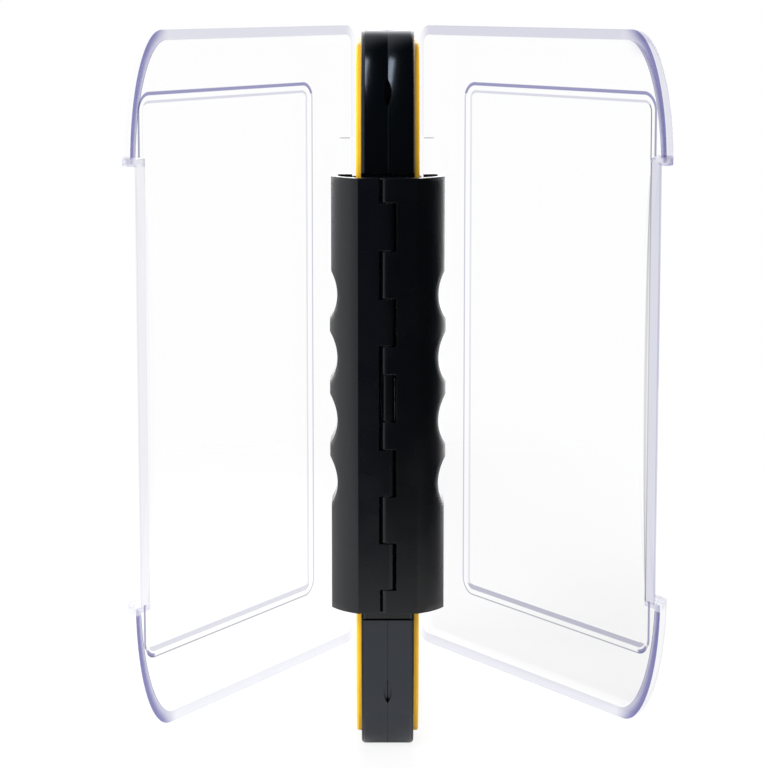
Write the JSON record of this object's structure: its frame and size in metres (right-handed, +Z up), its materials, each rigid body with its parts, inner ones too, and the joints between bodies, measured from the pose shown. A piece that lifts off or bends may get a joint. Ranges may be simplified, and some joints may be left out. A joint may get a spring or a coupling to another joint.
{
  "type": "fly box",
  "caption": "Case that stands on its end: a slim foam-lined frame with a clear domed lid on each side and a grip of interleaved latch halves on one pin.",
  "frame": {"origin": "middle of the footprint of the whole box, lids and grip included, on the surface it stands on", "axes": "+Z up along the length of the box as it stands, +Y from the grip towards the lid hinges, +X to the right as seen from the grip"},
  "size_m": [0.1574, 0.1393, 0.205],
  "materials": {
    "frame_gloss_black": "polished",
    "seal_yellow": "matte",
    "foam_white": "matte",
    "lid_clear": "polished",
    "pin_steel": "satin",
    "grip_satin_black": "satin",
    "bracket_black": "polished"
  },
  "bodies": {
    "frame": {"frame_left_half": "frame_gloss_black", "frame_right_half": "frame_gloss_black", "seal_left": "seal_yellow", "seal_right": "seal_yellow", "foam_left": "foam_white", "foam_right": "foam_white", "hinge_pin_left_upper": "pin_steel", "hinge_pin_left_lower": "pin_steel", "hinge_pin_right_upper": "pin_steel", "hinge_pin_right_lower": "pin_steel", "latch_bracket": "bracket_black", "latch_pin": "pin_steel"},
    "lid_left": {"lid_left": "lid_clear"},
    "lid_right": {"lid_right": "lid_clear"},
    "latch_left": {"latch_left": "grip_satin_black"},
    "latch_right": {"latch_right": "grip_satin_black"}
  },
  "joints": [
    {"name": "lid_left_hinge", "type": "hinge", "parent": "frame", "child": "lid_left", "pos_m": [-0.01225, 0.06735, 0.1025], "axis": [0, 0, -1], "range_deg": [-31.2, 143.8]},
    {"name": "lid_right_hinge", "type": "hinge", "parent": "frame", "child": "lid_right", "pos_m": [0.00595, 0.06735, 0.1025], "axis": [0, 0, 1], "range_deg": [-34.9, 140.1]},
    {"name": "latch_left_hinge", "type": "hinge", "parent": "frame", "child": "latch_left", "pos_m": [-0.00315, -0.06745, 0.1057], "axis": [0, 0, 1], "range_deg": [0, 42]},
    {"name": "latch_right_hinge", "type": "hinge", "parent": "frame", "child": "latch_right", "pos_m": [-0.00315, -0.06745, 0.1057], "axis": [0, 0, -1], "range_deg": [0, 42]}
  ]
}
